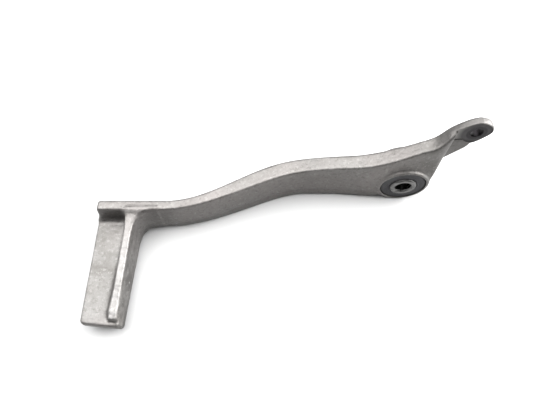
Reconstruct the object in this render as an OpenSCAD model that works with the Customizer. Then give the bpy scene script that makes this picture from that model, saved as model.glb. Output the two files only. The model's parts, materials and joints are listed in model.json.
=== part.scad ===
// Cast aluminium foot lever for a motorcycle, with a sealed pivot.
// Origin at the middle of the pivot bore. +X runs from the foot plate towards the linkage ear,
// Y is the pivot axis (the rider's side is -Y), +Z is up. The lever rests on z = -ground_drop.

/* [Pivot] */
// Bore of the steel collar, for an M8 bolt
bore_d = 8.4; // [8.1:0.1:8.8]
// Outside diameter of the collar, which the seal lips run on
collar_od = 14; // [13:0.5:15]
// Length of the collar, between the faces that the bolt clamps
collar_len = 18; // [17.6:0.1:20]
// Chamfer at the collar's ends
collar_chamfer = 0.6; // [0.3:0.1:1]
// Outside diameter of the bush
bush_od = 17; // [16:0.5:18]
// Radial running clearance of the bush on the collar
bush_gap = 0.03; // [0.01:0.01:0.1]
// Outside diameter of the shaft seals
seal_od = 24; // [23:0.5:24.5]
// Width of one seal
seal_w = 4; // [3.6:0.1:5]
// How far a seal sits inside the rim of its boss
seal_recess = 0.5; // [0.2:0.1:1]

/* [Boss] */
// Diameter of the pivot boss
boss_d = 27.4; // [27:0.2:29]
// Length of the boss along the pivot axis
boss_len = 17; // [17:0.1:17.4]
// From the pivot axis down to the surface that the lever rests on
ground_drop = 13.7; // [13.7:0.1:16]

/* [Arm] */
// From the pivot to the free end of the arm
arm_reach = 159; // [150:1:170]
// How far the arm steps sideways, towards the rider, in its bend
arm_step = 22.8; // [15:0.1:30]
// Centre line of the arm beside the boss, measured along the pivot axis
arm_line_y = -1.2; // [-2:0.1:0]
// Thickness at the free end
arm_t_end = 5.4; // [4:0.1:7]
// Thickness beside the boss
arm_t_boss = 8.6; // [8:0.1:9]
// Height of the top edge at the free end, above the pivot
arm_top_end = 9; // [7:0.5:11]

/* [Linkage ear] */
// From the pivot to the linkage hole
ear_reach = 45; // [43:0.5:47]
// Angle of the linkage hole above the X axis, in degrees
ear_angle = 55.5; // [53:0.5:58]
// Diameter of the linkage hole
ear_hole_d = 5.5; // [4.4:0.1:9]
// Radius of the ear's end
ear_r = 7.5; // [7.2:0.1:8]
// Thickness of the ear as cast
ear_t = 4.2; // [3.5:0.1:5]
// Depth of the machined face round the hole
spot_depth = 0.4; // [0.2:0.1:0.8]
// Radius of the machined face
spot_r = 6.9; // [6:0.1:7.4]

/* [Foot plate] */
// How far the plate reaches out from the arm
plate_reach = 55; // [45:1:65]
// Width of the plate beside the arm
plate_w_root = 22.6; // [20:0.2:26]
// Width of the plate at its tip
plate_w_tip = 17.6; // [15:0.2:22]
// Height of the plate's top face, relative to the pivot
plate_top = -2.2; // [-4:0.1:0]
// Height of the plate's underside, relative to the pivot
plate_under = -10.5; // [-12:0.5:-8]
// Radius of the plate's corners
plate_corner = 2.5; // [1.5:0.5:4]
// Width of the toe rib at the arm
rib_w_root = 4.6; // [4:0.1:6]
// Width of the toe rib at its tip
rib_w_tip = 3.8; // [3:0.1:5]
// Height of the toe rib's top at its tip, relative to the pivot
rib_top_tip = -0.7; // [-1.5:0.1:2]
// Radius of the inner corner between arm and rib
inner_corner = 10; // [6:1:14]

/* [Hidden] */
$fn = 96;
eps = 0.01;

// Arm: the bend runs from bend_start over bend_len, and the bar thickens over its first part.
bend_start = -126;
bend_len = 75;
thicken_start = -118;
thicken_len = 54;
curve_step = 3;
arm_front_end_x = 11;
cap_x = 16;
arm_bottom = -ground_drop;

// Height of the arm's top edge, from the free end to the foot of the ear
top_knots = [[-arm_reach, arm_top_end], [-100, arm_top_end], [-75, arm_top_end + 0.1],
             [-56, 10.2], [-45, 12], [-35, 13.2], [-24.5, 14.4], [-15, 17.4],
             [-6, 21.8], [2.5, 26.8], [10.6, 31.8], [18, 36]];

// Linkage ear
hole_x = ear_reach * cos(ear_angle);
hole_z = ear_reach * sin(ear_angle);
shoulder_r = 19;
shoulder_x = hole_x + 3.8;
shoulder_z = hole_z - 10.6;
mill_z = hole_z - 4.8;
ear_back_y = arm_line_y + arm_t_boss / 2 - 0.1;
ear_under_angle = 51.5;
ear_under_off = 6.2;

// Foot plate: its right side lies under the rib, and all of it is set from the arm's free end.
arm_end_y = arm_line_y - arm_step;
arm_end_front = arm_end_y - arm_t_end / 2;
plate_left_x = -arm_reach - 3.2;
plate_right_x = plate_left_x + plate_w_root;
plate_tip_y = arm_end_front - plate_reach + 0.9;
plate_tip_left_x = plate_left_x + 1.4;
plate_tip_right_x = plate_tip_left_x + plate_w_tip + 0.6;
tip_slant = 1.8;
rib_tip_gap = 2.8;

// Seal section, as radii and depths from the outer face
seal_r = seal_od / 2;
lip_r = collar_od / 2 + 0.05;
seal_skin = 0.6;
ring_t = 0.8;
ring_r = seal_r - seal_skin;
ring_in_r = 8.9;
spring_wire_r = 0.45;
spring_r = 8.55;
spring_y = seal_w - 1.15;
seal_face_y = boss_len / 2 - seal_recess;
bush_len = 2 * (seal_face_y - seal_w);
rim_chamfer = 0.4;

function mix(a, b, t) = a + (b - a) * t;
function ease(t) = (1 - cos(180 * min(max(t, 0), 1))) / 2;

// Centre line and thickness of the arm, seen from above
function arm_y(x) = arm_line_y - arm_step * (1 - ease((x - bend_start) / bend_len));
function arm_t(x) = mix(arm_t_end, arm_t_boss, ease((x - thicken_start) / thicken_len));
function arm_slope(x) = (arm_y(x + 0.5) - arm_y(x - 0.5));
function arm_side(x, s) =
    let (a = atan(arm_slope(x)))
    [x - s * sin(a) * arm_t(x) / 2, arm_y(x) + s * cos(a) * arm_t(x) / 2];

// Catmull-Rom height between knot i and i + 1 at share t
function knot_z(i) = top_knots[min(max(i, 0), len(top_knots) - 1)][1];
function blend_z(i, t) =
    let (a = knot_z(i - 1), b = knot_z(i), c = knot_z(i + 1), d = knot_z(i + 2))
    0.5 * (2 * b + (c - a) * t + (2 * a - 5 * b + 4 * c - d) * t * t + (3 * b - a - 3 * c + d) * t * t * t);
top_line = [for (i = [1 : len(top_knots) - 3], t = [0 : 0.25 : 0.8])
            [mix(top_knots[i][0], top_knots[i + 1][0], t), blend_z(i, t)]];

function arc(cx, cy, r, a0, a1, n) =
    [for (i = [0 : n]) let (a = mix(a0, a1, i / n)) [cx + r * cos(a), cy + r * sin(a)]];

// Turns a drawing in X and Z into a solid between y0 and y1
module side_solid(y0, y1) {
    translate([0, y1, 0])
        rotate([90, 0, 0])
            linear_extrude(height = y1 - y0)
                children();
}

// A cylinder along the pivot axis between y0 and y1
module axis_cylinder(r, y0, y1) {
    translate([0, y1, 0])
        rotate([90, 0, 0])
            cylinder(r = r, h = y1 - y0);
}

// A solid of revolution about the pivot axis, from a section of radius and y
module axis_ring(section) {
    rotate([-90, 0, 0])
        rotate_extrude()
            polygon(section);
}

// Arm seen from above: S-bend, then straight past the boss to a rounded end
module arm_plan() {
    xs = concat([-arm_reach, -arm_reach + 15],
                [for (x = [bend_start : curve_step : bend_start + bend_len]) x], [-40, -20]);
    back = [for (x = xs) arm_side(x, 1)];
    front = [for (i = [len(xs) - 1 : -1 : 0]) arm_side(xs[i], -1)];
    front_y = arm_line_y - arm_t_boss / 2;
    cap_rx = cap_x - arm_front_end_x;
    cap_ry = ear_back_y - ear_t - front_y;
    cap = [for (a = [0 : -15 : -90])
           [arm_front_end_x + cap_rx * cos(a), front_y + cap_ry * (1 + sin(a))]];
    polygon(concat(back, [[cap_x, ear_back_y]], cap, front));
}

// Arm seen from the side: flat underside, rising top edge, and the block that carries the ear
module arm_outline() {
    right = [[8, -8], [boss_d / 2, 0], [15.2, 7], [cap_x, 14]];
    shoulder = arc(shoulder_x, shoulder_z, shoulder_r, 134.4, 163.5, 5);
    top = [for (i = [len(top_line) - 1 : -1 : 0]) if (top_line[i][0] < 10) top_line[i]];
    polygon(concat([[-arm_reach, arm_bottom], [-62, arm_bottom], [-46, arm_bottom + 1.2],
                    [-18, arm_bottom + 1.2], [-8, arm_bottom + 2]],
                   right, shoulder, top, [[-arm_reach, arm_top_end]]));
}

// Ear seen from the side: round end, straight underside, and a shoulder that runs back into the arm
module ear_outline() {
    ux = cos(ear_under_angle);
    uz = sin(ear_under_angle);
    fx = hole_x + ear_under_off * uz;
    fz = hole_z - ear_under_off * ux;
    half = sqrt(ear_r * ear_r - ear_under_off * ear_under_off);
    end_a = atan2(fz + half * uz - hole_z, fx + half * ux - hole_x);
    foot = (cap_x - 4 - fx) / ux;
    polygon(concat([[2, 14], [fx + foot * ux, fz + foot * uz]],
                   arc(hole_x, hole_z, ear_r, end_a, 75, 12),
                   arc(shoulder_x, shoulder_z, shoulder_r, 105, 163.5, 10)));
}

// Plate and rib seen from above share their right side
module plate_plan() {
    r = plate_corner;
    root_y = arm_end_y + arm_t_end / 2;
    union() {
        polygon([[plate_left_x, root_y - 1.5], [plate_tip_left_x, plate_tip_y + r],
                 [plate_tip_left_x + r, plate_tip_y], [plate_tip_right_x - r, plate_tip_y - tip_slant],
                 [plate_tip_right_x, plate_tip_y - tip_slant + r],
                 [plate_right_x, arm_end_front - inner_corner], [plate_right_x, arm_end_y],
                 [plate_left_x + 1.5, root_y]]);
        translate([plate_tip_left_x + r, plate_tip_y + r])
            circle(r);
        translate([plate_tip_right_x - r, plate_tip_y - tip_slant + r])
            circle(r);
    }
}

module rib_plan() {
    tip_y = plate_tip_y - tip_slant + rib_tip_gap;
    side_y = arm_end_front - inner_corner;
    slope = (plate_tip_right_x - plate_right_x) / (plate_tip_y - tip_slant + plate_corner - side_y);
    tip_right_x = plate_right_x + slope * (tip_y + rib_w_tip / 2 - side_y);
    union() {
        polygon([[plate_right_x - rib_w_root, arm_end_y], [tip_right_x - rib_w_tip, tip_y + rib_w_tip / 2],
                 [tip_right_x, tip_y + rib_w_tip / 2], [plate_right_x, side_y],
                 [plate_right_x, arm_end_y]]);
        translate([tip_right_x - rib_w_tip / 2, tip_y + rib_w_tip / 2])
            circle(rib_w_tip / 2);
    }
}

// Round inner corner between the arm's front face and the rib
module corner_plan() {
    r = inner_corner;
    difference() {
        translate([plate_right_x - 1, arm_end_front - r])
            square([r + 1, r + 1]);
        translate([plate_right_x + r, arm_end_front - r])
            circle(r);
    }
}

module foot_plate() {
    translate([0, 0, plate_under])
        linear_extrude(height = plate_top - plate_under)
            plate_plan();
}

// The rib's top runs down in a shallow hollow from the arm to the tip.
module toe_rib() {
    y0 = arm_end_y;
    y1 = plate_tip_y - tip_slant;
    top = [for (i = [0 : 8]) let (t = i / 8)
           [mix(y0, y1, t), mix(arm_top_end, rib_top_tip, t + 0.18 * t * (1 - t))]];
    intersection() {
        translate([0, 0, plate_under])
            linear_extrude(height = arm_top_end - plate_under) {
                rib_plan();
                corner_plan();
            }
        translate([plate_left_x, 0, 0])
            rotate([90, 0, 90])
                linear_extrude(height = plate_w_root + inner_corner + 1)
                    polygon(concat([[y0 + 1, plate_under], [y0 + 1, arm_top_end]], top,
                                   [[y1, plate_under]]));
    }
}

module casting_body() {
    intersection() {
        translate([0, 0, arm_bottom])
            linear_extrude(height = hole_z + ear_r - arm_bottom + 1)
                arm_plan();
        side_solid(-40, 20)
            arm_outline();
    }
    axis_cylinder(boss_d / 2, -boss_len / 2, boss_len / 2);
    side_solid(ear_back_y - ear_t, ear_back_y)
        ear_outline();
    foot_plate();
    toe_rib();
}

// Bores for the bush and the two seals, each seal bore with a chamfered rim
module pivot_bores() {
    far = boss_len / 2;
    deep = bush_len / 2;
    axis_cylinder(bush_od / 2, -far, far);
    for (s = [0, 1])
        mirror([0, s, 0]) {
            axis_cylinder(seal_r, deep, far + 1);
            axis_ring([[seal_r - 1, far - rim_chamfer], [seal_r, far - rim_chamfer],
                       [seal_r + rim_chamfer + eps, far + eps], [seal_r - 1, far + eps]]);
        }
}

module linkage_hole() {
    front = ear_back_y - ear_t;
    translate([hole_x, 0, hole_z]) {
        axis_cylinder(ear_hole_d / 2, -9, 9);
        axis_cylinder(spot_r, front - 2, front + spot_depth);
    }
    side_solid(front, front + spot_depth)
        translate([cap_x, mill_z])
            square([hole_x - cap_x, hole_z + ear_r + 1 - mill_z]);
}

module lever_casting() {
    color("darkgray")
        difference() {
            casting_body();
            pivot_bores();
            linkage_hole();
        }
}

// Steel sleeve that the pivot bolt clamps; it stays still and the lever swings on it
module pivot_collar() {
    c = collar_chamfer;
    y = collar_len / 2;
    ri = bore_d / 2;
    ro = collar_od / 2;
    color("silver")
        axis_ring([[ri, -y + c], [ri + c, -y], [ro - c, -y], [ro, -y + c],
                   [ro, y - c], [ro - c, y], [ri + c, y], [ri, y - c]]);
}

module pivot_bush() {
    color("peru")
        axis_ring([[collar_od / 2 + bush_gap, -bush_len / 2], [bush_od / 2, -bush_len / 2],
                   [bush_od / 2, bush_len / 2], [collar_od / 2 + bush_gap, bush_len / 2]]);
}

// Puts a seal part, drawn with its outer face at y = 0 and its inside towards +y, at one end.
module at_end(s) {
    mirror([0, s, 0])
        translate([0, -seal_face_y, 0])
            children();
}

// Rubber body: outer skin, face, dust lip and main lip with the groove for the spring
module seal_rubber() {
    face_t = 1;
    groove_r = spring_r + spring_wire_r;
    color("#3a3a3c")
        axis_ring([[lip_r, 0.25], [lip_r + 0.25, 0], [seal_r - 0.3, 0], [seal_r, 0.3],
                   [seal_r, seal_w], [ring_r, seal_w], [ring_r, face_t], [ring_in_r, face_t],
                   [ring_in_r, face_t + ring_t], [groove_r - 0.3, spring_y - spring_wire_r - 0.1],
                   [spring_r - spring_wire_r, spring_y - spring_wire_r],
                   [spring_r - spring_wire_r - 0.05, spring_y + spring_wire_r],
                   [groove_r, spring_y + spring_wire_r + 0.1], [groove_r, seal_w - 0.3],
                   [lip_r + 0.6, seal_w - 0.3], [lip_r, seal_w - 1.2],
                   [lip_r + 0.5, seal_w - 2.2], [lip_r + 0.4, 0.9], [lip_r, 0.6]]);
}

// Steel stiffening ring bonded in the rubber, L-shaped in section
module seal_ring() {
    face_t = 1;
    color("slategray")
        axis_ring([[ring_in_r, face_t], [ring_r, face_t], [ring_r, seal_w],
                   [ring_r - ring_t, seal_w], [ring_r - ring_t, face_t + ring_t],
                   [ring_in_r, face_t + ring_t]]);
}

// Garter spring that holds the main lip on the collar, drawn as a closed ring
module seal_spring() {
    color("lightgray")
        translate([0, spring_y, 0])
            rotate([-90, 0, 0])
                rotate_extrude()
                    translate([spring_r, 0])
                        circle(r = spring_wire_r - 0.03, $fn = 24);
}

lever_casting();
pivot_collar();
pivot_bush();
at_end(0) seal_rubber();  // front_seal_rubber
at_end(0) seal_ring();  // front_seal_ring
at_end(0) seal_spring();  // front_seal_spring
at_end(1) seal_rubber();  // rear_seal_rubber
at_end(1) seal_ring();  // rear_seal_ring
at_end(1) seal_spring();  // rear_seal_spring
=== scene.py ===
"""Cast aluminium foot lever of a motorcycle, with a sealed pivot: its looks around the CAD frame.

The casting is one smooth solid, worked out as a distance field from the same driving dimensions as the CAD
part, so that its edges, drafts and inner corners are round as in a real casting. Its bores and machined faces
are then cut. Lengths in the building functions are in millimetres in the part's frame, and become metres when
a mesh is made.
"""

import json
import math

import bmesh
import bpy
import numpy as np
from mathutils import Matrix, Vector


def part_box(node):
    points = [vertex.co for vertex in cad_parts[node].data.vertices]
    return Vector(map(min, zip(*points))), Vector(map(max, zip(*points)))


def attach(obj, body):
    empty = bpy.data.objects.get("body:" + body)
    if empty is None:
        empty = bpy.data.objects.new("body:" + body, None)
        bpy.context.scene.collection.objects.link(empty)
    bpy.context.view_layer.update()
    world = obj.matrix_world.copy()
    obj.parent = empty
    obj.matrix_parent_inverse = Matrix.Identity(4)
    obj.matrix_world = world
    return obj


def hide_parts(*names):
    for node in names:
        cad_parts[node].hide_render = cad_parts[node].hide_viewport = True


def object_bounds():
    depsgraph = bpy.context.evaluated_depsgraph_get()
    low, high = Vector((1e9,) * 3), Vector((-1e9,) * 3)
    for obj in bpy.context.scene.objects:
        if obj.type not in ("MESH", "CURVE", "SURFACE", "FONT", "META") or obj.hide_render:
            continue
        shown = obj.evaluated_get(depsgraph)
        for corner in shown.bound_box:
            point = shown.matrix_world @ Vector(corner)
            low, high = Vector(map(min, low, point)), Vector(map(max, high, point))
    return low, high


MM = 0.001
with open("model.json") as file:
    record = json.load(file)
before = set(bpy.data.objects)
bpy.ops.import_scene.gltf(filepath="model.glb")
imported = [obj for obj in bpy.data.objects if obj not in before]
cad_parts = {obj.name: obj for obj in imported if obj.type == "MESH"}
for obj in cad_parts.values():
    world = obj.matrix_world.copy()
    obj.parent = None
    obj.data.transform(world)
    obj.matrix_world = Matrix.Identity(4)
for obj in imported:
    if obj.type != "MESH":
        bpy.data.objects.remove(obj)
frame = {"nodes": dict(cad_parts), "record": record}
cad_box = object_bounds()
record = frame["record"]
mounts = {m["name"]: m for m in record["mounts"]}

# --- Driving dimensions, as in the CAD part ---

casting_lo, casting_hi = ([c / MM for c in corner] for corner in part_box("lever_casting"))
collar_lo, collar_hi = ([c / MM for c in corner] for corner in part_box("pivot_collar"))
seal_lo, seal_hi = ([c / MM for c in corner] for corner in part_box("front_seal_rubber"))
bush_hi = [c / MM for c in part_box("pivot_bush")[1]]

GROUND = casting_lo[2]
BOSS_R = -GROUND
BOSS_HALF = casting_hi[1]
SEAL_R = seal_hi[0]
SEAL_IN_Y = -seal_hi[1]
SEAL_FACE_Y = -seal_lo[1]
BUSH_R = bush_hi[0]
COLLAR_R = collar_hi[0]
COLLAR_HALF = collar_hi[1]
BORE_R = mounts["pivot_bore"]["dims"]["r_mm"]
HOLE_R = mounts["linkage_hole"]["dims"]["r_mm"]
HOLE_X, _, HOLE_Z = (c / MM for c in mounts["linkage_hole"]["pos_m"])

PARTING_Z = -5.5
DRAFT = math.tan(math.radians(3))
UNDER_DRAFT = math.tan(math.radians(5))
SEAM_STEP, SEAM_STEP_H = 0.28, 0.4
SEAM_BULGE, SEAM_BULGE_W = 0.16, 0.45
ARM_REACH = 159.0
ARM_LINE_Y = -1.2
ARM_STEP = 22.8
BEND_START, BEND_LEN = -126.0, 75.0
THICKEN_START, THICKEN_LEN = -118.0, 54.0
ARM_T_END, ARM_T_BOSS = 5.4, 8.6
# What the drafts take off the arm's thickness again, at its end and at the boss
ARM_SPARE_END, ARM_SPARE_BOSS = 1.5, 1.6
# The arm's front face stands out near the boss, and leans back more there
SWELL, SWELL_START, SWELL_LEN = 1.6, -40, 30
SWELL_LEAN = math.tan(math.radians(4.6))
# Slope of the front face under the parting line, at the arm's end and at the boss
TUCK_END, TUCK_BOSS = math.tan(math.radians(9)), math.tan(math.radians(1))
TUCK_START, TUCK_LEN = -115, 40
ARM_END_Y = ARM_LINE_Y - ARM_STEP
ARM_END_FRONT = ARM_END_Y - ARM_T_END / 2
CAP_START_X, CAP_X = 9.0, 16.0
CAP_LOW_X = CAP_X - 3
CAP_TURN_Z, CAP_TURN_H = 8, 14
SIDE_TRIM = 0.8
END_FLARE = 1.8
EAR_BACK_Y = 3.0
EAR_FRONT_Y = EAR_BACK_Y - 4.2
EAR_R = 7.5
EAR_UNDER_ANGLE, EAR_UNDER_OFF = math.radians(51.5), 6.2
SPOT_R, SPOT_DEPTH = 6.9, 0.4
EAR_FACE_Y = EAR_FRONT_Y + SPOT_DEPTH
STRIP_UNDER, STRIP_ABOVE = 4.8, 12
PLATE_TOP, PLATE_UNDER = -2.2, -10.5
PLATE_LEFT_X = casting_lo[0]
PLATE_RIGHT_X = PLATE_LEFT_X + 22.6
PLATE_TIP_Y = casting_lo[1]
TIP_SLANT = 1.8
INNER_CORNER = 10.0
RIB_W_ROOT, RIB_W_TIP = 4.6, 3.8
RIB_TOP_ROOT, RIB_TOP_TIP = 9.0, -0.7
RIB_TIP_GAP = 2.8
RIB_SAG = 0.18
PLATE_TAPER = 3.7
PIN_MARK_X, PIN_MARK_Y, PIN_MARK_R = -156.5, -46, 3.3
BOSS_FILLET, EAR_FILLET, FOOT_FILLET = 1.9, 0.15, 3.0

GRID = 0.5
GRID_MARGIN = 1.5
CUT_PAST = 3
BORE_BEVEL = 0.25
HOLE_BEVEL, HOLE_FLARE = 0.15, 3.2

# Height of the arm's top edge from the free end to the top of the ear, as (x, z)
TOP_KNOTS = [
    (-170, 9), (-100, 9), (-75, 9.1), (-56, 10.2), (-45, 12), (-35, 13.2), (-24.5, 14.4), (-15, 17.4),
    (-6, 21.8), (2.5, 26.8), (10.6, 31.8), (13.4, 36.5), (16.7, 40.1), (20.2, 42.7), (24.1, 44.1), (40, 44.3),
]
BOTTOM_KNOTS = [(-170, GROUND), (-62, GROUND), (-46, GROUND + 1.2), (-18, GROUND + 1.2), (-8, -11), (40, -11)]

# --- Small helpers for distance fields ---


def ease(t):
    return (1 - np.cos(np.pi * np.clip(t, 0, 1))) / 2


def mix(a, b, t):
    return a + (b - a) * t


def cut_round(a, b, r):
    """Both solids at once, with the edge between them rounded to radius r."""
    u, v = np.maximum(a + r, 0), np.maximum(b + r, 0)
    return np.minimum(-r, np.maximum(a, b)) + np.sqrt(u * u + v * v)


def join_round(a, b, r):
    """Either solid, with the inner corner between them filled to radius r."""
    u, v = np.maximum(r - a, 0), np.maximum(r - b, 0)
    return np.maximum(r, np.minimum(a, b)) - np.sqrt(u * u + v * v)


def join_soft(a, b, k):
    """Either solid, melted together over a width k."""
    h = np.clip(0.5 + 0.5 * (b - a) / k, 0, 1)
    return b * (1 - h) + a * h - k * h * (1 - h)


def through(knots, x):
    """A smooth curve through knots, as a height at each x (cubic, with slopes from the neighbours)."""
    kx, kz = (np.array(v, float) for v in zip(*knots))
    slope = np.gradient(kz, kx)
    i = np.clip(np.searchsorted(kx, x) - 1, 0, len(kx) - 2)
    w = kx[i + 1] - kx[i]
    t = np.clip((x - kx[i]) / w, 0, 1)
    return (
        (2 * t**3 - 3 * t**2 + 1) * kz[i] + (t**3 - 2 * t**2 + t) * w * slope[i]
        + (-2 * t**3 + 3 * t**2) * kz[i + 1] + (t**3 - t**2) * w * slope[i + 1]
    )


def slope_share(height, x):
    """Cosine of a curve's slope, which turns a height above it into a distance from it."""
    return 1 / np.sqrt(1 + np.gradient(height, x) ** 2)


# --- The casting as a distance field ---


def draft(z, slope=DRAFT, under_slope=UNDER_DRAFT):
    """How far a side stands back from its widest place, just above the step at the parting line."""
    under = PARTING_Z - z
    lower_half = SEAM_STEP * np.clip(under / SEAM_STEP_H, 0, 1) + under_slope * under
    return np.where(under > 0, lower_half, -slope * under)


def arm_field(x, y, z):
    """The S-bent bar with its rising top edge and the rounded block behind the ear."""
    line = x[:, 0, 0]
    centre = ARM_LINE_Y - ARM_STEP * (1 - ease((line - BEND_START) / BEND_LEN))
    share = ease((line - THICKEN_START) / THICKEN_LEN)
    half = mix(ARM_T_END + ARM_SPARE_END, ARM_T_BOSS + ARM_SPARE_BOSS, share) / 2
    near_boss = ease((line - SWELL_START) / SWELL_LEN)
    column = np.s_[:, None, None]
    across = (y - centre[column]) * slope_share(centre, line)[column]
    lean = mix(DRAFT, SWELL_LEAN, near_boss)[column]
    tuck = mix(TUCK_END, TUCK_BOSS, ease((line - TUCK_START) / TUCK_LEN))[column]
    front = -across - half[column] - SWELL * near_boss[column] + draft(z, lean, tuck)
    cap_deep = EAR_FRONT_Y - ARM_LINE_Y + half[column] + SWELL - draft(z, lean)
    cap_start = mix(CAP_LOW_X, CAP_START_X, np.clip((z - CAP_TURN_Z) / CAP_TURN_H, 0, 1))
    turn = np.hypot(np.maximum(x - cap_start, 0) / (CAP_X - cap_start), np.maximum(1 + front / cap_deep, 0))
    front = np.where(x > cap_start, (turn - 1) * cap_deep, front)
    side = np.maximum(front, across - half[column] + draft(z))
    top = through(TOP_KNOTS, line)
    bottom = np.interp(line, *zip(*BOTTOM_KNOTS))
    outline = cut_round((z - top[column]) * slope_share(top, line)[column], bottom[column] - z, 1.0)
    end = -ARM_REACH - END_FLARE * np.clip((RIB_TOP_ROOT - z) / (RIB_TOP_ROOT - PLATE_TOP), 0, 1) - x
    outline = cut_round(outline, end, 1.5)
    low, mid, high = (8 - SIDE_TRIM, -8), (BOSS_R - SIDE_TRIM, 0), (CAP_X - SIDE_TRIM / 2, 14)
    right = np.maximum(line_distance(x, z, mid, high), line_distance(x, z, low, mid))
    return cut_round(side, np.maximum(outline, right), 1.2)


def line_distance(x, z, a, b):
    """Distance to the right of the line from a to b."""
    dx, dz = b[0] - a[0], b[1] - a[1]
    return ((x - a[0]) * dz - (z - a[1]) * dx) / math.hypot(dx, dz)


def boss_field(x, y, z):
    """The round pivot boss."""
    from_axis = np.hypot(x, z)
    radius = BOSS_R - 0.5 * np.clip((-y - 4) / 2, 0, 1)
    return cut_round(from_axis - radius, np.abs(y) - BOSS_HALF, 0.65)


def ear_field(x, y, z):
    """The thin ear: a round end, a straight underside, and a top edge that carries on the arm's."""
    line = x[:, 0, 0]
    top = through(TOP_KNOTS, line)
    column = np.s_[:, None, None]
    end = np.hypot(x - HOLE_X, z - HOLE_Z) - EAR_R
    neck = np.maximum((z - top[column]) * slope_share(top, line)[column], np.maximum(x - HOLE_X, -x))
    ux, uz = math.cos(EAR_UNDER_ANGLE), math.sin(EAR_UNDER_ANGLE)
    under = (x - HOLE_X) * uz - (z - HOLE_Z) * ux - EAR_UNDER_OFF
    flat = cut_round(join_soft(end, neck, 1.0), under, 1.6)
    thick = np.maximum(EAR_FRONT_Y - y, y - EAR_BACK_Y + 1.1 * ease((12 - x) / 12))
    return cut_round(flat, thick, 0.8)


def plate_right(y):
    """X of the plate's right side: straight beside the inner corner, then inwards to the tip."""
    along = [PLATE_TIP_Y, ARM_END_FRONT - INNER_CORNER]
    return np.interp(y, along, [PLATE_RIGHT_X - PLATE_TAPER, PLATE_RIGHT_X])


def rib_top(y):
    """Height of the rib's top, which drops towards the tip in a slight curve."""
    t = np.clip((ARM_END_Y - y) / (ARM_END_Y - PLATE_TIP_Y), 0, 1)
    return mix(RIB_TOP_ROOT, RIB_TOP_TIP, t + RIB_SAG * t * (1 - t))


def plate_field(x, y, z):
    """The foot plate, with the toe rib along its right side and the ring that an ejector pin left."""
    grow = draft(z)
    left_x = PLATE_LEFT_X + 0.55 + 1.05 * (ARM_END_Y - y) / (ARM_END_Y - PLATE_TIP_Y)
    tip_y = PLATE_TIP_Y + 0.25 + TIP_SLANT * (plate_right(PLATE_TIP_Y) - x) / 18
    toward_tip = np.clip((ARM_END_FRONT - INNER_CORNER - y) / 45, 0, 1)
    lean = np.clip((rib_top(y) - z) / (rib_top(y) - PARTING_Z), 0, 1)
    right = x - plate_right(y) - 2.2 * toward_tip * lean + grow
    outer = cut_round(left_x - x + grow, tip_y - y + grow, 1.9)
    outer = cut_round(outer, right, 1.9)
    outer = cut_round(outer, y - (ARM_END_Y + 1.2), 1.2)
    width = mix(RIB_W_TIP, RIB_W_ROOT, np.clip((y - PLATE_TIP_Y) / 50, 0, 1))
    height = z - rib_top(y) + 1.5 * np.maximum(y - ARM_END_FRONT - 0.6, 0)
    left = plate_right(y) - width - 0.14 * (rib_top(y) - z) - x
    rib = cut_round(left, tip_y + RIB_TIP_GAP - y, 0.9)
    rib = cut_round(rib, right, 1.0)
    rib = cut_round(rib, height, 1.0)
    mark = np.hypot(x - PIN_MARK_X, y - PIN_MARK_Y) - PIN_MARK_R
    level = z - PLATE_TOP + 0.16 * np.exp(-((mark / 0.4) ** 2))
    tops = join_round(level, rib, 0.9 + 2.9 * np.clip((y - tip_y - RIB_TIP_GAP) / 4, 0, 1))
    return cut_round(cut_round(outer, tops, 0.9), PLATE_UNDER - z, 0.9)


def corner_field(x, y, z):
    """The round inner corner between the arm's front face and the rib."""
    r = INNER_CORNER
    from_centre = np.hypot(x - PLATE_RIGHT_X - r, y - ARM_END_FRONT + r)
    wedge = np.maximum(x - PLATE_RIGHT_X - r, ARM_END_FRONT - r - y)
    wall = np.maximum(r + draft(z) - from_centre, np.maximum(wedge, PLATE_RIGHT_X - 3 - x))
    wall = np.maximum(wall, y - ARM_END_FRONT - 0.5)
    return cut_round(cut_round(wall, z - rib_top(y), 1.0), PLATE_UNDER - 1.0 - z, 1.0)


def casting_field(x, y, z):
    """The whole casting before machining, with the bulge of the parting line away from the boss."""
    body = join_round(arm_field(x, y, z), boss_field(x, y, z), BOSS_FILLET)
    body = join_round(body, ear_field(x, y, z), EAR_FILLET)
    foot = np.minimum(plate_field(x, y, z), corner_field(x, y, z))
    body = join_round(body, foot, FOOT_FILLET)
    seam = SEAM_BULGE * np.exp(-(((z - PARTING_Z) / SEAM_BULGE_W) ** 2))
    return body - seam * (np.hypot(x, z) > BOSS_R + 1)


# --- Turning a field into a mesh ---

CORNERS = np.array([(i, j, k) for i in (0, 1) for j in (0, 1) for k in (0, 1)])
CELL_EDGES = [
    (a, b) for a in range(8) for b in range(a + 1, 8) if np.abs(CORNERS[a] - CORNERS[b]).sum() == 1
]


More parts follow.
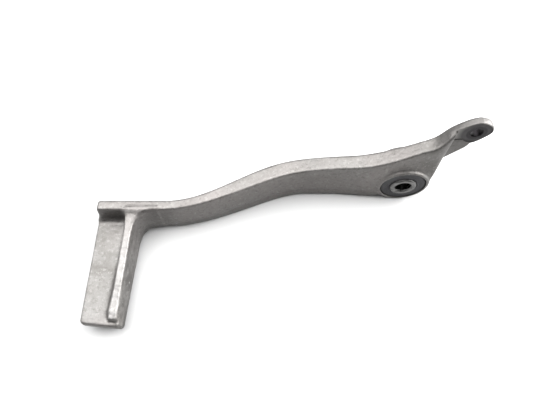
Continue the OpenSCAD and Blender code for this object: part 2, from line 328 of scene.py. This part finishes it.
def surface_net(values, origin, step):
    """Vertices and quads of the surface where values change sign, with one vertex in each crossed cell."""
    inside = values < 0
    nx, ny, nz = (n - 1 for n in inside.shape)
    count = sum(inside[i : i + nx, j : j + ny, k : k + nz].astype(np.int8) for i, j, k in CORNERS)
    cells = np.argwhere((count > 0) & (count < 8))
    number = np.full(count.shape, -1, np.int32)
    number[tuple(cells.T)] = np.arange(len(cells))
    at = np.stack([values[tuple((cells + c).T)] for c in CORNERS], 1)
    total, crossings = np.zeros((len(cells), 3)), np.zeros(len(cells))
    for a, b in CELL_EDGES:
        crossed = (at[:, a] < 0) != (at[:, b] < 0)
        t = at[crossed, a] / (at[crossed, a] - at[crossed, b])
        total[crossed] += CORNERS[a] + t[:, None] * (CORNERS[b] - CORNERS[a])
        crossings[crossed] += 1
    points = origin + step * (cells + total / crossings[:, None])
    quads = []
    for axis in range(3):
        u, v = np.eye(3, dtype=int)[[(axis + 1) % 3, (axis + 2) % 3]]
        near = np.take(inside, range(inside.shape[axis] - 1), axis)
        far = np.take(inside, range(1, inside.shape[axis]), axis)
        edges = np.argwhere(near != far)
        edges = edges[(np.delete(edges, axis, 1) > 0).all(1)]
        ring = np.stack([number[tuple((edges - d).T)] for d in (u + v, v, 0 * u, u)], 1)
        flip = ~near[tuple(edges.T)]
        ring[flip] = ring[flip][:, ::-1]
        quads.append(ring)
    return points, np.concatenate(quads)


def mesh_from(name, points, faces):
    """An object in the scene from points in millimetres."""
    mesh = bpy.data.meshes.new(name)
    mesh.from_pydata((points * MM).tolist(), [], faces if isinstance(faces, list) else faces.tolist())
    mesh.validate()
    obj = bpy.data.objects.new(name, mesh)
    bpy.context.scene.collection.objects.link(obj)
    return obj


def field_mesh(name, field, low, high, step):
    """The surface of a distance field over a box, on a grid of the given step."""
    axes = [np.arange(a, b + step, step, dtype=np.float32) for a, b in zip(low, high)]
    x, y, z = axes[0][:, None, None], axes[1][None, :, None], axes[2][None, None, :]
    values = field(x, y, z).astype(np.float32)
    return mesh_from(name, *surface_net(values, np.array(low, float), step))


def lathe(name, section, turns=128):
    """A solid of revolution about the pivot axis from a closed section of (radius, y)."""
    n = len(section)
    around = [2 * math.pi * i / turns for i in range(turns)]
    points = np.array([(r * math.cos(a), y, r * math.sin(a)) for a in around for r, y in section])
    faces = []
    for i in range(turns):
        a, b = i * n, (i + 1) % turns * n
        for j in range(n):
            k = (j + 1) % n
            faces.append((a + j, a + k, b + k, b + j))
    return mesh_from(name, points, faces)


def plug(name, radius_y, turns=128):
    """A closed solid of revolution that reaches the axis, from (radius, y) points in order of y."""
    n = len(radius_y)
    points, faces = [], []
    for i in range(turns):
        a = 2 * math.pi * i / turns
        points += [(r * math.cos(a), y, r * math.sin(a)) for r, y in radius_y]
        j = (i + 1) % turns
        faces += [(i * n + k, i * n + k + 1, j * n + k + 1, j * n + k) for k in range(n - 1)]
    faces.append(tuple(i * n for i in range(turns)))
    faces.append(tuple(i * n + n - 1 for i in reversed(range(turns))))
    return mesh_from(name, np.array(points), faces)


def outward(obj):
    """Turns every face of a closed mesh outwards."""
    bm = bmesh.new()
    bm.from_mesh(obj.data)
    bmesh.ops.recalc_face_normals(bm, faces=bm.faces)
    bm.to_mesh(obj.data)
    bm.free()
    return obj


def applied(obj):
    """The object with its modifiers applied."""
    dg = bpy.context.evaluated_depsgraph_get()
    mesh = bpy.data.meshes.new_from_object(obj.evaluated_get(dg), depsgraph=dg)
    obj.modifiers.clear()
    obj.data = mesh
    return obj


def cut_away(obj, cutters):
    """Cuts closed solids out of an object, in order, and removes them."""
    for cutter in cutters:
        outward(cutter)
        m = obj.modifiers.new(cutter.name, "BOOLEAN")
        m.operation = "DIFFERENCE"
        m.solver = "EXACT"
        m.object = cutter
    applied(obj)
    for cutter in cutters:
        bpy.data.objects.remove(cutter)


def smooth(obj, degrees=35):
    obj.data.polygons.foreach_set("use_smooth", [True] * len(obj.data.polygons))
    obj.data.set_sharp_from_angle(angle=math.radians(degrees))
    return obj


# --- Materials ---


class Shader:
    """A short way to build a node material: each call adds one node and returns its output."""

    def __init__(self, name):
        self.material = bpy.data.materials.new(name)
        self.material.use_nodes = True
        self.nodes = self.material.node_tree.nodes
        self.links = self.material.node_tree.links
        self.surface = self.nodes["Principled BSDF"]
        self.place = self.nodes.new("ShaderNodeTexCoord").outputs["Object"]

    def put(self, socket, value):
        if hasattr(value, "is_output"):
            self.links.new(value, socket)
        else:
            socket.default_value = value

    def set(self, **values):
        for name, value in values.items():
            self.put(self.surface.inputs[name.replace("_", " ")], value)

    def noise(self, size_mm, detail=4.0, rough=0.55, stretch=(1, 1, 1), offset=0.0):
        spread = self.nodes.new("ShaderNodeMapping")
        self.links.new(self.place, spread.inputs["Vector"])
        spread.inputs["Scale"].default_value = stretch
        spread.inputs["Location"].default_value = (offset, offset, offset)
        node = self.nodes.new("ShaderNodeTexNoise")
        self.links.new(spread.outputs["Vector"], node.inputs["Vector"])
        node.inputs["Scale"].default_value = 1000 / size_mm
        node.inputs["Detail"].default_value = detail
        node.inputs["Roughness"].default_value = rough
        return node.outputs["Fac"]

    def spots(self, size_mm):
        node = self.nodes.new("ShaderNodeTexVoronoi")
        self.links.new(self.place, node.inputs["Vector"])
        node.inputs["Scale"].default_value = 1000 / size_mm
        return node.outputs["Distance"]

    def spread(self, value, low, high, to_low=0.0, to_high=1.0):
        node = self.nodes.new("ShaderNodeMapRange")
        self.put(node.inputs["Value"], value)
        for key, number in zip(("From Min", "From Max", "To Min", "To Max"), (low, high, to_low, to_high)):
            node.inputs[key].default_value = number
        return node.outputs["Result"]

    def math(self, kind, a, b=0.0):
        node = self.nodes.new("ShaderNodeMath")
        node.operation = kind
        self.put(node.inputs[0], a)
        self.put(node.inputs[1], b)
        return node.outputs["Value"]

    def mix(self, share, a, b):
        node = self.nodes.new("ShaderNodeMix")
        node.data_type = "RGBA"
        self.put(node.inputs["Factor"], share)
        self.put(node.inputs["A"], a if hasattr(a, "is_output") else (*a, 1))
        self.put(node.inputs["B"], b if hasattr(b, "is_output") else (*b, 1))
        return node.outputs["Result"]

    def bump(self, height, distance_mm, strength=1.0, under=None):
        node = self.nodes.new("ShaderNodeBump")
        self.put(node.inputs["Height"], height)
        node.inputs["Distance"].default_value = distance_mm * MM
        node.inputs["Strength"].default_value = strength
        if under is not None:
            self.links.new(under, node.inputs["Normal"])
        return node.outputs["Normal"]

    def distance_from_hole(self):
        """How far a point is from the linkage hole's axis, in metres."""
        flat = self.nodes.new("ShaderNodeVectorMath")
        flat.operation = "MULTIPLY"
        self.links.new(self.place, flat.inputs[0])
        flat.inputs[1].default_value = (1, 0, 1)
        away = self.nodes.new("ShaderNodeVectorMath")
        away.operation = "DISTANCE"
        self.links.new(flat.outputs["Vector"], away.inputs[0])
        away.inputs[1].default_value = (HOLE_X * MM, 0, HOLE_Z * MM)
        return away.outputs["Value"]

    def attribute(self, name):
        node = self.nodes.new("ShaderNodeAttribute")
        node.attribute_name = name
        return node.outputs["Fac"]

    def edges(self, low, high):
        """Worn outer edges, from how sharply the mesh turns."""
        node = self.nodes.new("ShaderNodeNewGeometry")
        return self.spread(node.outputs["Pointiness"], low, high)


def cast_aluminium():
    """Grey, mottled skin of a casting, brighter where boots scuff it, with a painted highlight on the ear's
    top rim, and darker towards the linkage hole.
    """
    s = Shader("cast_aluminium")
    grain = s.noise(1.5, 5, 0.68)
    lumps = s.noise(3.6, 3, 0.5, offset=0.3)
    stain = s.noise(14, 4, 0.6, offset=0.7)
    patch = s.noise(38, 3, 0.5, offset=1.1)
    tone = s.mix(s.spread(stain, 0.35, 0.68), (0.092, 0.088, 0.083), (0.180, 0.176, 0.171))
    tone = s.mix(s.spread(patch, 0.4, 0.62), tone, (0.160, 0.151, 0.146))
    tone = s.mix(s.spread(grain, 0.34, 0.5, 0.6, 0.0), tone, (0.070, 0.066, 0.061))
    flecks = s.spread(s.noise(1.7, 5, 0.7, offset=2.0), 0.54, 0.74)
    tone = s.mix(s.math("MULTIPLY", flecks, 0.6), tone, (0.26, 0.256, 0.248))
    # The wear attribute lightens the toe rib's real scuffing and also paints a highlight on the ear's top
    # rim.
    rub_and_sheen_noise = s.spread(s.noise(3.2, 5, 0.7, offset=3.0), 0.32, 0.62, 0.1, 1.0)
    worn_and_highlit = s.math("MULTIPLY", s.attribute("wear"), rub_and_sheen_noise)
    tone = s.mix(worn_and_highlit, tone, (0.240, 0.234, 0.229))
    tone = s.mix(s.edges(0.53, 0.62), tone, (0.26, 0.256, 0.249))
    # Darker towards the linkage hole.
    near_hole_darkening = s.spread(s.distance_from_hole(), 9 * MM, 24 * MM, 0.62, 0.0)
    tone = s.mix(near_hole_darkening, tone, (0.062, 0.060, 0.058))
    pits = s.spread(s.spots(2.6), 0.02, 0.16)
    skin = s.bump(lumps, 0.5, 0.6)
    skin = s.bump(grain, 0.16, 0.75, skin)
    skin = s.bump(pits, 0.08, 0.35, skin)
    s.set(Base_Color=tone, Metallic=1.0, Normal=skin)
    s.set(Roughness=s.spread(s.math("ADD", grain, stain), 0.7, 1.3, 0.44, 0.62))
    return s.material


def machined_aluminium():
    """Milled and bored faces, dark round the linkage hole and lighter further out; the hole's inner wall gets
    painted shade, near black.
    """
    s = Shader("machined_aluminium")
    swirl = s.noise(0.35, 2, 0.5, stretch=(1, 0.05, 1))
    dirt = s.noise(5, 4, 0.6, offset=0.4)
    tone = s.mix(s.spread(dirt, 0.35, 0.7), (0.022, 0.021, 0.022), (0.045, 0.043, 0.043))
    from_hole = s.distance_from_hole()
    # Painted shade: the linkage hole's inner wall is painted near black.
    tone = s.mix(s.spread(from_hole, 4.4 * MM, 5.0 * MM), (0.013, 0.012, 0.013), tone)
    tone = s.mix(s.spread(from_hole, 6.6 * MM, 10.0 * MM), tone, (0.15, 0.145, 0.138))
    s.set(Base_Color=tone, Metallic=1.0, Roughness=s.spread(dirt, 0.3, 0.7, 0.35, 0.5))
    s.set(Normal=s.bump(swirl, 0.03, 0.5))
    return s.material


def seal_rubber():
    s = Shader("seal_rubber")
    dust = s.noise(4.5, 4, 0.6)
    grain = s.noise(0.4, 2, 0.5)
    tone = s.mix(s.spread(dust, 0.4, 0.75), (0.029, 0.029, 0.031), (0.047, 0.046, 0.048))
    s.set(Base_Color=tone, Roughness=s.spread(grain, 0.3, 0.7, 0.55, 0.7), Specular_IOR_Level=0.26)
    s.set(Normal=s.bump(s.math("ADD", grain, dust), 0.04, 0.5))
    return s.material


def collar_steel():
    s = Shader("collar_steel")
    turned = s.noise(0.5, 2, 0.5, stretch=(1, 12, 1))
    wear = s.noise(2.5, 4, 0.6, offset=0.5)
    tone = s.mix(s.spread(wear, 0.35, 0.7), (0.080, 0.079, 0.077), (0.155, 0.153, 0.150))
    s.set(Base_Color=tone, Metallic=1.0, Roughness=s.spread(wear, 0.3, 0.7, 0.26, 0.42))
    s.set(Normal=s.bump(turned, 0.02, 0.5))
    return s.material


def plain_metal(name, colour, roughness):
    s = Shader(name)
    wear = s.noise(3, 4, 0.6)
    s.set(Base_Color=s.mix(s.spread(wear, 0.3, 0.7), [c * 0.75 for c in colour], colour))
    s.set(Metallic=1.0, Roughness=s.spread(wear, 0.3, 0.7, roughness - 0.08, roughness + 0.08))
    s.set(Normal=s.bump(s.noise(0.5, 2, 0.5), 0.02, 0.4))
    return s.material


# --- Pieces ---


def make_casting():
    """The casting: its field as a mesh, relaxed, bored and milled, with its two finishes."""
    low = [c - GRID_MARGIN for c in casting_lo]
    high = [c + GRID_MARGIN for c in casting_hi]
    casting = field_mesh("casting", casting_field, low, high, GRID)
    relax = casting.modifiers.new("relax", "SMOOTH")
    relax.factor, relax.iterations = 0.5, 2
    applied(casting)
    far = BOSS_HALF + CUT_PAST
    bevel_r = SEAL_R + BORE_BEVEL
    bevel_y = BOSS_HALF - BORE_BEVEL
    bore = plug("bore", [
        (bevel_r + CUT_PAST, -far), (bevel_r, -BOSS_HALF), (SEAL_R, -bevel_y), (SEAL_R, -SEAL_IN_Y),
        (BUSH_R, -SEAL_IN_Y), (BUSH_R, SEAL_IN_Y),
        (SEAL_R, SEAL_IN_Y), (SEAL_R, bevel_y), (bevel_r, BOSS_HALF), (bevel_r + CUT_PAST, far),
    ])
    hole = plug("hole", [
        (HOLE_R + HOLE_FLARE, EAR_FACE_Y - CUT_PAST),
        (HOLE_R + HOLE_BEVEL, EAR_FACE_Y), (HOLE_R, EAR_FACE_Y + HOLE_BEVEL),
        (HOLE_R, EAR_BACK_Y - HOLE_BEVEL), (HOLE_R + HOLE_BEVEL, EAR_BACK_Y),
        (HOLE_R + HOLE_FLARE, EAR_BACK_Y + CUT_PAST),
    ])
    above_y = EAR_FRONT_Y - CUT_PAST - 0.5
    spot = plug("spot", [(SPOT_R, above_y), (SPOT_R, EAR_FACE_Y)])
    for cutter in (hole, spot):
        cutter.location = (HOLE_X * MM, 0, HOLE_Z * MM)
    strip_low, strip_high = (CAP_X, above_y, HOLE_Z - STRIP_UNDER), (HOLE_X, EAR_FACE_Y, HOLE_Z + STRIP_ABOVE)
    strip = box_mesh("strip", strip_low, strip_high)
    bpy.context.view_layer.update()
    cut_away(casting, [bore, spot, strip, hole])
    casting.data.materials.clear()
    casting.data.materials.append(cast_aluminium())
    casting.data.materials.append(machined_aluminium())
    mark_machined(casting.data)
    mark_wear_and_rim_highlight(casting.data)
    smooth(casting, 32)
    return casting


def box_mesh(name, low, high):
    points = np.array([[(low, high)[i][0], (low, high)[j][1], (low, high)[k][2]] for i, j, k in CORNERS])
    faces = [(0, 1, 3, 2), (4, 6, 7, 5), (0, 4, 5, 1), (2, 3, 7, 6), (0, 2, 6, 4), (1, 5, 7, 3)]
    return mesh_from(name, points, faces)


def mark_machined(mesh):
    """Gives the bores and the milled face round the linkage hole the machined finish."""
    n = len(mesh.polygons)
    centres = np.empty(n * 3)
    mesh.polygons.foreach_get("center", centres)
    x, y, z = centres.reshape(n, 3).T / MM
    from_axis, from_hole = np.hypot(x, z), np.hypot(x - HOLE_X, z - HOLE_Z)
    in_bore = (from_axis < SEAL_R + 0.22) & (np.abs(y) < BOSS_HALF + 0.05)
    in_hole = (from_hole < HOLE_R + 0.45) & (y > EAR_FACE_Y - 0.2)
    on_face = (np.abs(y - EAR_FACE_Y) < 0.02) & (x > CAP_X - 1) & (z > 20)
    mesh.polygons.foreach_set("material_index", (in_bore | in_hole | on_face).astype(np.int32))


def mark_wear_and_rim_highlight(mesh):
    """Where a boot has scuffed the skin bright on the toe rib's top, plus a painted highlight on the top of
    the ear's rim.
    """
    n = len(mesh.vertices)
    places = np.empty(n * 3)
    mesh.vertices.foreach_get("co", places)
    x, y, z = places.reshape(n, 3).T / MM
    on_rib = (y < ARM_END_FRONT - 2) & (x > plate_right(y) - 6)
    rib = np.exp(-(((z - rib_top(y)) / 0.7) ** 2)) * on_rib * np.clip((ARM_END_FRONT - 2 - y) / 16, 0, 1)
    # Painted highlight: the top of the ear's round end, which faces up into the light, is painted lighter.
    rim = np.clip(np.hypot(x - HOLE_X, z - HOLE_Z) - EAR_R + 1.2, 0, 1) * np.clip((z - HOLE_Z - 1) / 4, 0, 1)
    rim = rim * np.clip((x - HOLE_X + 9) / 6, 0, 1)
    wear = mesh.attributes.new("wear", "FLOAT", "POINT")
    wear.data.foreach_set("value", np.maximum(rib, 0.2 * rim).astype(np.float32))


def rounded(section, r, steps=3):
    """A closed section with each corner replaced by a short curve."""
    out = []
    n = len(section)
    for i, p in enumerate(section):
        p = np.array(p, float)
        a, b = np.array(section[i - 1], float), np.array(section[(i + 1) % n], float)
        ra = min(r, np.linalg.norm(a - p) * 0.4)
        rb = min(r, np.linalg.norm(b - p) * 0.4)
        start, end = p + (a - p) / np.linalg.norm(a - p) * ra, p + (b - p) / np.linalg.norm(b - p) * rb
        for k in range(steps + 1):
            t = k / steps
            out.append(tuple((1 - t) ** 2 * start + 2 * t * (1 - t) * p + t * t * end))
    return out


def make_collar(material):
    """The steel sleeve, chamfered by c at its four rims."""
    c, y, ri, ro = 0.6, COLLAR_HALF, BORE_R, COLLAR_R
    section = [
        (ri, -y + c), (ri + c, -y), (ro - c, -y), (ro, -y + c),
        (ro, y - c), (ro - c, y), (ri + c, y), (ri, y - c),
    ]
    collar = outward(lathe("collar", rounded(section, 0.16)))
    collar.data.materials.append(material)
    return smooth(collar, 60)


def make_seal(name, sign, material):
    """A shaft seal's rubber, with its outer face at SEAL_FACE_Y and its lips on the collar."""
    width = SEAL_FACE_Y - SEAL_IN_Y
    lip, skin_r, ring_in = COLLAR_R + 0.05, SEAL_R - 0.6, 8.9
    spring_r, wire, spring_y = 8.55, 0.45, width - 1.15
    groove = spring_r + wire
    section = [
        (lip, 0.25), (lip + 0.3, 0), (lip + 0.95, 0), (lip + 1.15, 0.16), (SEAL_R - 1.0, 0.08),
        (SEAL_R - 0.8, 0), (skin_r, 0), (SEAL_R, 0.9), (SEAL_R, width), (skin_r, width), (skin_r, 1.0),
        (ring_in, 1.0),
        (ring_in, 1.8), (groove - 0.3, spring_y - wire - 0.1), (spring_r - wire, spring_y - wire),
        (spring_r - wire - 0.05, spring_y + wire), (groove, spring_y + wire + 0.1), (groove, width - 0.3),
        (lip + 0.6, width - 0.3), (lip, width - 1.2), (lip + 0.5, width - 2.2), (lip + 0.4, 0.9), (lip, 0.6),
    ]
    placed = [(r, sign * (SEAL_FACE_Y - depth)) for r, depth in section]
    seal = outward(lathe(name, rounded(placed, 0.12, 2)))
    seal.data.materials.append(material)
    return smooth(seal, 50)


def give_material(node, material):
    """Dresses a CAD node without touching its mesh."""
    obj = frame["nodes"][node]
    if not obj.material_slots:
        obj.data.materials.append(material)
    for s in obj.material_slots:
        s.link = "OBJECT"
        s.material = material


# --- Camera, light and floor ---


def make_stage():
    mesh = bpy.data.meshes.new("floor")
    half, z = 4.0, cad_box[0][2]
    corners = [(-half, -half, z), (half, -half, z), (half, half, z), (-half, half, z)]
    mesh.from_pydata(corners, [], [(0, 1, 2, 3)])
    floor = bpy.data.objects.new("floor", mesh)
    bpy.context.scene.collection.objects.link(floor)
    paper = Shader("floor_paper")
    paper.set(Base_Color=(0.37, 0.37, 0.37, 1), Roughness=0.9, Specular_IOR_Level=0.1)
    mesh.materials.append(paper.material)


def make_light(name, place, aim, size, power):
    light = bpy.data.lights.new(name, "AREA")
    light.shape = "RECTANGLE"
    light.size, light.size_y = size
    light.energy = power
    obj = bpy.data.objects.new(name, light)
    obj.location = place
    obj.rotation_euler = Vector(np.array(aim) - np.array(place)).to_track_quat("-Z", "Y").to_euler()
    bpy.context.scene.collection.objects.link(obj)


def make_camera():
    camera = bpy.data.cameras.new("camera")
    camera.lens, camera.sensor_width = 27.0, 36.0
    camera.clip_start, camera.clip_end = 0.01, 20
    obj = bpy.data.objects.new("camera", camera)
    down = math.radians(63)
    obj.location = (-0.0691, -0.1191, 0.1937)
    obj.rotation_euler = (math.pi / 2 - down, 0, 0)
    bpy.context.scene.collection.objects.link(obj)
    bpy.context.scene.camera = obj


def make_world():
    world = bpy.data.worlds.new("studio")
    world.use_nodes = True
    sky = world.node_tree.nodes["Background"]
    sky.inputs["Color"].default_value = (1, 1, 1, 1)
    sky.inputs["Strength"].default_value = 0.24
    bpy.context.scene.world = world


make_camera()
make_world()
make_light("softbox", (-0.15, 0.20, 0.70), (-0.10, 0.0, 0), (1.15, 0.85), 22.0)
make_light("right side", (0.50, 0.08, 0.28), (-0.12, -0.04, 0), (0.5, 0.4), 15.0)
make_light("front left", (-0.42, -0.22, 0.58), (-0.14, -0.05, 0), (0.35, 0.3), 0.9)
make_light("left side", (-0.75, 0.10, 0.38), (-0.15, -0.03, 0), (0.5, 0.4), 5.0)
make_stage()
bpy.context.scene.view_settings.view_transform = "Standard"

casting = make_casting()
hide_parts("lever_casting")
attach(casting, "lever")

steel = collar_steel()
collar = make_collar(steel)
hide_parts("pivot_collar")
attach(collar, "pivot")

rubber = seal_rubber()
for side, sign in (("front", -1), ("rear", 1)):
    seal = make_seal(f"{side}_seal", sign, rubber)
    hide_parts(f"{side}_seal_rubber")
    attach(seal, "lever")

ring_steel = plain_metal("seal_steel", (0.42, 0.42, 0.43), 0.4)
for node in ("front_seal_ring", "front_seal_spring", "rear_seal_ring", "rear_seal_spring"):
    give_material(node, ring_steel)
give_material("pivot_bush", plain_metal("bush_bronze", (0.52, 0.36, 0.18), 0.42))
